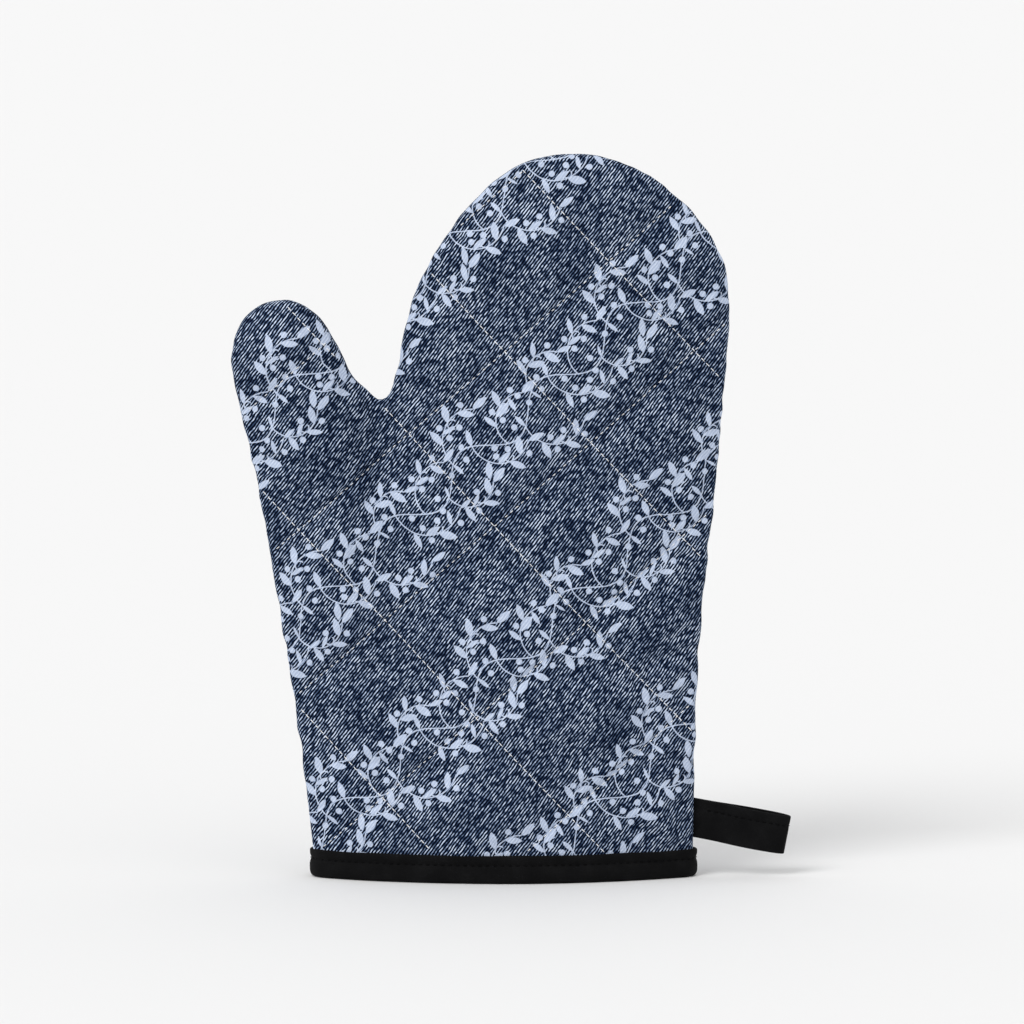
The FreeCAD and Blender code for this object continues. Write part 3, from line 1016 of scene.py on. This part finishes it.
def vine_height(x):
    return VINE_SWING * math.sin(2 * math.pi * VINE_WAVES * x / GARLAND_REPEAT)


def polar(centre, radius, turn):
    return centre[0] + radius * math.cos(turn), centre[1] + radius * math.sin(turn)


class Sprigs:
    """The print's drawing list: leaves, berries and arcs, with no leaf or berry on another."""

    def __init__(self):
        self.leaves = []
        self.berries = []
        self.arcs = []
        self.taken = []

    def free(self, x, y, room):
        for other_x, other_y, other_room in self.taken:
            apart_x = (x - other_x + GARLAND_REPEAT / 2) % GARLAND_REPEAT - GARLAND_REPEAT / 2
            if math.hypot(apart_x, y - other_y) < room + other_room:
                return False
        self.taken.append((x, y, room))
        return True

    def leaf(self, root, lean, reach):
        """A pointed leaf from its root: tries a few leans and drops the leaf if none is free."""
        for nudge in (0.0, 0.35, -0.35, 0.7, -0.7):
            x, y = polar(root, reach * 1.02, lean + nudge)
            if self.free(x, y, 0.58 * reach):
                self.leaves.append((x, y, lean + nudge, reach))
                return

    def berry(self, x, y):
        if self.free(x, y, BERRY_RADIUS):
            self.berries.append((x, y))


def sprig_design():
    """One repeat of the garland: twigs that leave the vine on both sides, with leaves and berries."""
    rng = np.random.default_rng(43)
    sprigs = Sprigs()
    for i in range(TWIGS):
        side = 1 if i % 2 == 0 else -1
        x = GARLAND_REPEAT * (i + 0.5) / TWIGS + rng.uniform(-1.5, 1.5)
        root = (x, vine_height(x))
        radius = rng.uniform(9.5, 13.5)
        facing = side * (ARC_FACING + rng.uniform(-0.25, 0.2))
        start = facing + side * ARC_HALF_ANGLE
        centre = (root[0] - radius * math.cos(start), root[1] - radius * math.sin(start))
        sprigs.arcs.append((centre, radius, facing, ARC_HALF_ANGLE))
        for share, outside in ((0.3, 1), (0.44, -1), (0.6, 1), (0.78, -1), (1.0, 1)):
            turn = start - side * 2 * ARC_HALF_ANGLE * share
            spot = polar(centre, radius, turn)
            travel = turn - side * math.pi / 2
            out = turn if outside > 0 else turn + math.pi
            swing = math.atan2(math.sin(travel - out), math.cos(travel - out)) * rng.uniform(0.35, 0.65)
            sprigs.leaf(spot, out + swing, rng.uniform(2.7, 3.6))
        for share, away in ((0.5, 2.0), (0.86, 2.3), (0.9, -0.9), (0.4, -2.6), (0.66, -4.6)):
            turn = start - side * 2 * ARC_HALF_ANGLE * share
            sprigs.berry(*polar(centre, radius + away, turn))
        curl = rng.uniform(1.5, 2.0)
        turn = start - side * 2 * ARC_HALF_ANGLE * 0.62
        sprigs.arcs.append((polar(centre, radius - curl, turn), curl, turn + side * 0.6, CURL_HALF_ANGLE))
        sprigs.leaf(root, -side * rng.uniform(1.0, 1.7), rng.uniform(2.3, 3.3))
        sprigs.berry(root[0] - 3.4, root[1] - side * 2.6)
        sprigs.berry(root[0] - 5.0, root[1] + side * 2.2)
    return sprigs


def sprig_distance(cloth, place):
    """Signed distance in millimetres to the printed sprigs, negative inside them."""
    angle = math.radians(GARLAND_ANGLE)
    shifted = cloth.vector("SUBTRACT", place, (*GARLAND_START, 0.0))
    along = cloth.vector("DOT_PRODUCT", shifted, (math.cos(angle), math.sin(angle), 0.0))
    across = cloth.vector("DOT_PRODUCT", shifted, (-math.sin(angle), math.cos(angle), 0.0))
    band = cloth.math("FLOOR", cloth.math("MULTIPLY_ADD", across, 1 / GARLAND_GAP, 0.5))
    y = cloth.math("MULTIPLY_ADD", band, -GARLAND_GAP, across)
    x = cloth.math("WRAP", cloth.math("MULTIPLY_ADD", band, GARLAND_SHIFT, along), GARLAND_REPEAT, 0.0)
    spot = cloth.joined(x, y)
    sprigs = sprig_design()

    wave = cloth.math("SINE", cloth.math("MULTIPLY", x, 2 * math.pi * VINE_WAVES / GARLAND_REPEAT))
    vine = cloth.math("ABSOLUTE", cloth.math("MULTIPLY_ADD", wave, -VINE_SWING, y))
    stems = cloth.math("MULTIPLY", vine, 0.8)
    for (cx, cy), radius, facing_angle, half_angle in sprigs.arcs:
        towards = (-math.cos(facing_angle), -math.sin(facing_angle), 0.0)
        for copy_x in repeated(cx):
            from_centre = cloth.vector("SUBTRACT", spot, (copy_x, cy, 0.0))
            ring = cloth.math("ABSOLUTE", cloth.math("SUBTRACT", cloth.vector("LENGTH", from_centre), radius))
            behind = cloth.math(
                "ADD", cloth.vector("DOT_PRODUCT", from_centre, towards), radius * math.cos(half_angle)
            )
            stems = cloth.math("MINIMUM", stems, cloth.math("MAXIMUM", ring, behind))
    blades = None
    for cx, cy, lean, reach in sprigs.leaves:
        apart = math.sqrt(LEAF_RADIUS**2 - reach**2)
        for copy_x in repeated(cx):
            sides = []
            for sign in (-1, 1):
                centre = (copy_x - sign * apart * math.sin(lean), cy + sign * apart * math.cos(lean), 0.0)
                sides.append(cloth.vector("DISTANCE", spot, centre))
            blade = cloth.math("MAXIMUM", *sides)
            blades = blade if blades is None else cloth.math("MINIMUM", blades, blade)
    dots = None
    for cx, cy in sprigs.berries:
        for copy_x in repeated(cx):
            dot = cloth.vector("DISTANCE", spot, (copy_x, cy, 0.0))
            dots = dot if dots is None else cloth.math("MINIMUM", dots, dot)
    filled = cloth.math(
        "MINIMUM", cloth.math("SUBTRACT", blades, LEAF_RADIUS), cloth.math("SUBTRACT", dots, BERRY_RADIUS)
    )
    return cloth.math("MINIMUM", filled, cloth.math("SUBTRACT", stems, STEM_HALF_WIDTH))


TWILL_ANGLE = 53.0
TWILL_PITCH = 1.04
TWILL_WANDER = 0.55
DENIM_TONES = [
    (0.14, (0, 2, 16)),
    (0.38, (8, 22, 48)),
    (0.6, (58, 77, 105)),
    (0.84, (156, 173, 200)),
    (1.0, (216, 228, 246)),
]
INK_IN_GROOVES = (170, 183, 207)
INK_ON_RIBS = (206, 216, 232)
INK_COVER = 0.95


def printed_denim():
    """Indigo twill with pale weft streaks, soft mottling and a pale sprig print."""
    cloth = Cloth("printed_denim", roughness=0.9, sheen=0.01, specular=0.04)
    place = cloth.pattern()
    angle = math.radians(TWILL_ANGLE)
    wander = cloth.noise(place, 0.35, 1.0)
    along = cloth.vector("DOT_PRODUCT", place, (math.cos(angle), math.sin(angle), 0.0))
    across = cloth.vector("DOT_PRODUCT", place, (-math.sin(angle), math.cos(angle), 0.0))
    across = cloth.math("MULTIPLY_ADD", wander, TWILL_WANDER, across)
    ribs = cloth.math("MULTIPLY", across, 1 / TWILL_PITCH)
    profile = cloth.span(cloth.math("PINGPONG", ribs, 0.5), 0.1, 0.42)
    own_place = cloth.math("MULTIPLY", cloth.math("FLOOR", ribs), 7.3)
    streak = cloth.noise(cloth.joined(cloth.math("MULTIPLY", along, 0.5), own_place), 1.0, 1.0)
    streak = cloth.span(streak, 0.34, 0.62)
    fleck = cloth.noise(place, 2.6, 1.0)
    uneven = cloth.math("SUBTRACT", fleck, 0.5)
    mottle = cloth.span(cloth.noise(place, 0.06, 2.0, 0.5), 0.3, 0.7, 0.9, 1.1)
    thread = cloth.math("MULTIPLY", profile, cloth.math("MULTIPLY_ADD", streak, 0.5, 0.5))
    thread = cloth.math("MULTIPLY_ADD", uneven, 0.16, thread)
    thread = cloth.math("MULTIPLY", thread, mottle)
    denim = cloth.ramp(thread, DENIM_TONES)
    ragged = cloth.math("MULTIPLY_ADD", uneven, 0.28, sprig_distance(cloth, place))
    printed = cloth.span(ragged, 0.08, -0.1, 0.0, INK_COVER)
    ink = cloth.blend(cloth.math("MULTIPLY", thread, 0.8), INK_IN_GROOVES, INK_ON_RIBS)
    colour = cloth.blend(printed, denim, ink)
    height = cloth.math("MULTIPLY_ADD", fleck, 0.35, profile)
    return cloth.finish(colour, height, 0.12, 0.7)


def black_tape():
    """Black folded tape: fine ribs both ways, with slightly greyer patches."""
    cloth = Cloth("black_tape", roughness=0.85, sheen=0.015, sheen_roughness=0.45, specular=0.06)
    place = cloth.pattern()
    x, y = cloth.split(place)
    wander = cloth.math("MULTIPLY", cloth.noise(place, 0.8, 1.0), 0.5)
    warp = cloth.threads(cloth.math("ADD", x, wander), 2.1)
    weft = cloth.threads(cloth.math("ADD", y, wander), 2.4)
    weave = cloth.math("ADD", warp, weft)
    fuzz = cloth.noise(place, 3.2, 2.0)
    patch = cloth.noise(place, 0.11, 3.0)
    tone = cloth.math("MULTIPLY_ADD", weave, 0.5, cloth.math("MULTIPLY", fuzz, 0.35))
    tone = cloth.math("MULTIPLY", tone, cloth.span(patch, 0.3, 0.7, 0.75, 1.25))
    colour = cloth.ramp(tone, [(0.1, (3, 3, 4)), (0.5, (14, 14, 15)), (0.95, (36, 36, 37))])
    return cloth.finish(colour, cloth.math("MULTIPLY_ADD", fuzz, 0.4, weave), 0.1, 0.6)


def lining_cloth():
    """Off-white plain-woven cotton lining."""
    cloth = Cloth("lining_cloth", roughness=0.9, sheen=0.15, specular=0.2)
    place = cloth.pattern()
    x, y = cloth.split(place)
    weave = cloth.math("MULTIPLY", cloth.threads(x, 1.7), cloth.threads(y, 1.7))
    slub = cloth.noise(cloth.vector("MULTIPLY", place, (0.25, 2.4, 1.0)), 1.0, 2.0)
    tone = cloth.math("MULTIPLY_ADD", weave, 1.6, cloth.math("MULTIPLY", slub, 0.6))
    colour = cloth.ramp(tone, [(0.1, (176, 173, 165)), (0.5, (206, 203, 196)), (0.9, (224, 221, 214))])
    return cloth.finish(colour, cloth.math("ADD", weave, slub), 0.12, 0.6)


def batting():
    """White fibrous wadding."""
    cloth = Cloth("batting", roughness=0.95, sheen=0.3, specular=0.1)
    place = cloth.pattern()
    fibre = cloth.noise(cloth.vector("MULTIPLY", place, (0.4, 1.6, 1.0)), 1.3, 4.0, 0.7)
    clump = cloth.noise(place, 0.15, 2.0)
    tone = cloth.math("MULTIPLY_ADD", fibre, 0.6, cloth.math("MULTIPLY", clump, 0.4))
    colour = cloth.ramp(tone, [(0.25, (205, 203, 196)), (0.75, (235, 233, 228))])
    return cloth.finish(colour, tone, 0.5, 0.7)


def thread_material(name, dark, light, sheen, specular):
    """Twisted sewing thread: slanting plies along each stitch."""
    cloth = Cloth(name, roughness=0.6, sheen=sheen, specular=specular)
    place = cloth.pattern()
    x, y = cloth.split(place)
    slant = cloth.math("MULTIPLY_ADD", x, 3.0, cloth.math("MULTIPLY", y, 2.4))
    twist = cloth.math("PINGPONG", slant, 0.5)
    fuzz = cloth.noise(place, 6.0, 2.0)
    tone = cloth.math("MULTIPLY_ADD", twist, 1.2, cloth.math("MULTIPLY", fuzz, 0.5))
    colour = cloth.ramp(tone, [(0.1, dark), (0.8, light)])
    return cloth.finish(colour, twist, 0.06, 0.8)


# ---- stage ----


def camera_like_the_product_view():
    """A long lens level with the mitt's middle, looking slightly down at its front."""
    data = bpy.data.cameras.new("camera")
    data.lens = CAMERA_LENS
    data.clip_start = 0.01
    camera = bpy.data.objects.new("camera", data)
    bpy.context.scene.collection.objects.link(camera)
    low, high = cad_box
    target = Vector(((low[0] + high[0]) / 2, 0, (low[2] + high[2]) / 2 + CAMERA_RAISE))
    elevation = math.radians(CAMERA_ELEVATION)
    away = Vector((0, -math.cos(elevation), math.sin(elevation)))
    camera.location = target + away * (FRAME_WIDTH / data.sensor_width * data.lens)
    camera.rotation_euler = (-away).to_track_quat("-Z", "Y").to_euler()
    bpy.context.scene.camera = camera


def floor():
    """A wide pale floor."""
    turns = [2 * math.pi * i / FLOOR_SIDES for i in range(FLOOR_SIDES)]
    rim = [(FLOOR_RADIUS * math.cos(turn), FLOOR_RADIUS * math.sin(turn), 0) for turn in turns]
    mesh = bpy.data.meshes.new("floor")
    mesh.from_pydata(rim, [], [list(range(FLOOR_SIDES))])
    made = bpy.data.objects.new("floor", mesh)
    bpy.context.scene.collection.objects.link(made)
    material = bpy.data.materials.new("pale_floor")
    material.use_nodes = True
    shader = material.node_tree.nodes["Principled BSDF"]
    shader.inputs["Base Color"].default_value = (FLOOR_ALBEDO, FLOOR_ALBEDO, FLOOR_ALBEDO, 1)
    shader.inputs["Roughness"].default_value = 0.9
    shader.inputs["Specular IOR Level"].default_value = 0.1
    mesh.materials.append(material)


def studio_light():
    """An even pale surround and one large soft light from the upper left."""
    scene = bpy.context.scene
    scene.view_settings.view_transform = "Standard"
    world = bpy.data.worlds.new("studio")
    world.use_nodes = True
    background = world.node_tree.nodes["Background"]
    background.inputs["Color"].default_value = (1, 1, 1, 1)
    background.inputs["Strength"].default_value = WORLD_STRENGTH
    scene.world = world
    light = bpy.data.lights.new("key", "SUN")
    light.energy = KEY_STRENGTH
    light.angle = math.radians(KEY_SOFTNESS)
    lamp = bpy.data.objects.new("key", light)
    lamp.rotation_euler = (-Vector(KEY_FROM)).to_track_quat("-Z", "Y").to_euler()
    scene.collection.objects.link(lamp)


# ---- the mitt ----


def place_piece(obj, cloths, slot, node, swings=False):
    """Gives a piece its material and slot, hides the CAD node it stands for, and ties it to the mitt's body,
    or only bakes its transform if it swings.
    """
    obj.data.materials.clear()
    obj.data.materials.append(cloths[slot])
    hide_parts(node)
    if swings:
        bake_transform(obj)
    else:
        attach(obj, "mitt")


def panel(name, side, seed, cloths):
    """One side of the mitt: printed cloth with its quilting, wadding and lining."""
    cover = cover_panel("outer_cloth_" + name, side, seed)
    thread = quilting("quilting_thread_" + name, side, cover, seed)
    place_piece(thread, cloths, "white_thread", "quilting_stitches_" + name)
    wadding = wadding_panel("wadding_" + name, side, cover)
    place_piece(wadding, cloths, "batting", "batting_" + name)
    thicken(cover, COVER_THICKNESS)
    place_piece(cover, cloths, "printed_denim", "outer_" + name)
    lining = lining_panel("lining_cloth_" + name, side, seed + 5)
    place_piece(lining, cloths, "lining_cloth", "lining_" + name)


def seam(name, inset, cloths):
    """The thread of one seam that joins front and back panels."""
    thread = stitches(name + "_thread", seam_marks(inset), SEAM_THREAD_RADIUS)
    place_piece(thread, cloths, "white_thread", name + "_stitching")


def taped_part(tape, thread, cloths, nodes, swings=False):
    """A folded black tape and the thread that closes it."""
    place_piece(tape, cloths, "black_tape", nodes[0], swings)
    place_piece(thread, cloths, "black_thread", nodes[1], swings)


def main():
    camera_like_the_product_view()
    floor()
    studio_light()
    cloths = {
        "printed_denim": printed_denim(),
        "black_tape": black_tape(),
        "lining_cloth": lining_cloth(),
        "batting": batting(),
        "white_thread": thread_material("white_thread", (196, 199, 204), (250, 250, 250), 0.25, 0.35),
        # The black thread is coloured darker than the black tape it sews: partly the thread's own black,
        # partly painted shade of the dark stitch lines along the tape.
        "black_thread": thread_material("black_thread", (1, 1, 2), (9, 9, 10), 0.0, 0.05),
    }
    panel("front", FRONT, 11, cloths)
    panel("back", BACK, 23, cloths)
    seam("side_seam", SIDE_SEAM_INSET, cloths)
    seam("lining_seam", LINING_SEAM_INSET, cloths)
    binding_thread = stitches("binding_thread", binding_marks(), TAPE_THREAD_RADIUS)
    taped_part(cuff_binding(), binding_thread, cloths, ("cuff_binding", "binding_topstitch"))
    loop_thread = stitches("loop_thread", loop_marks(), TAPE_THREAD_RADIUS)
    taped_part(hanging_loop(), loop_thread, cloths, ("hanging_loop", "loop_topstitch"), swings=True)


main()
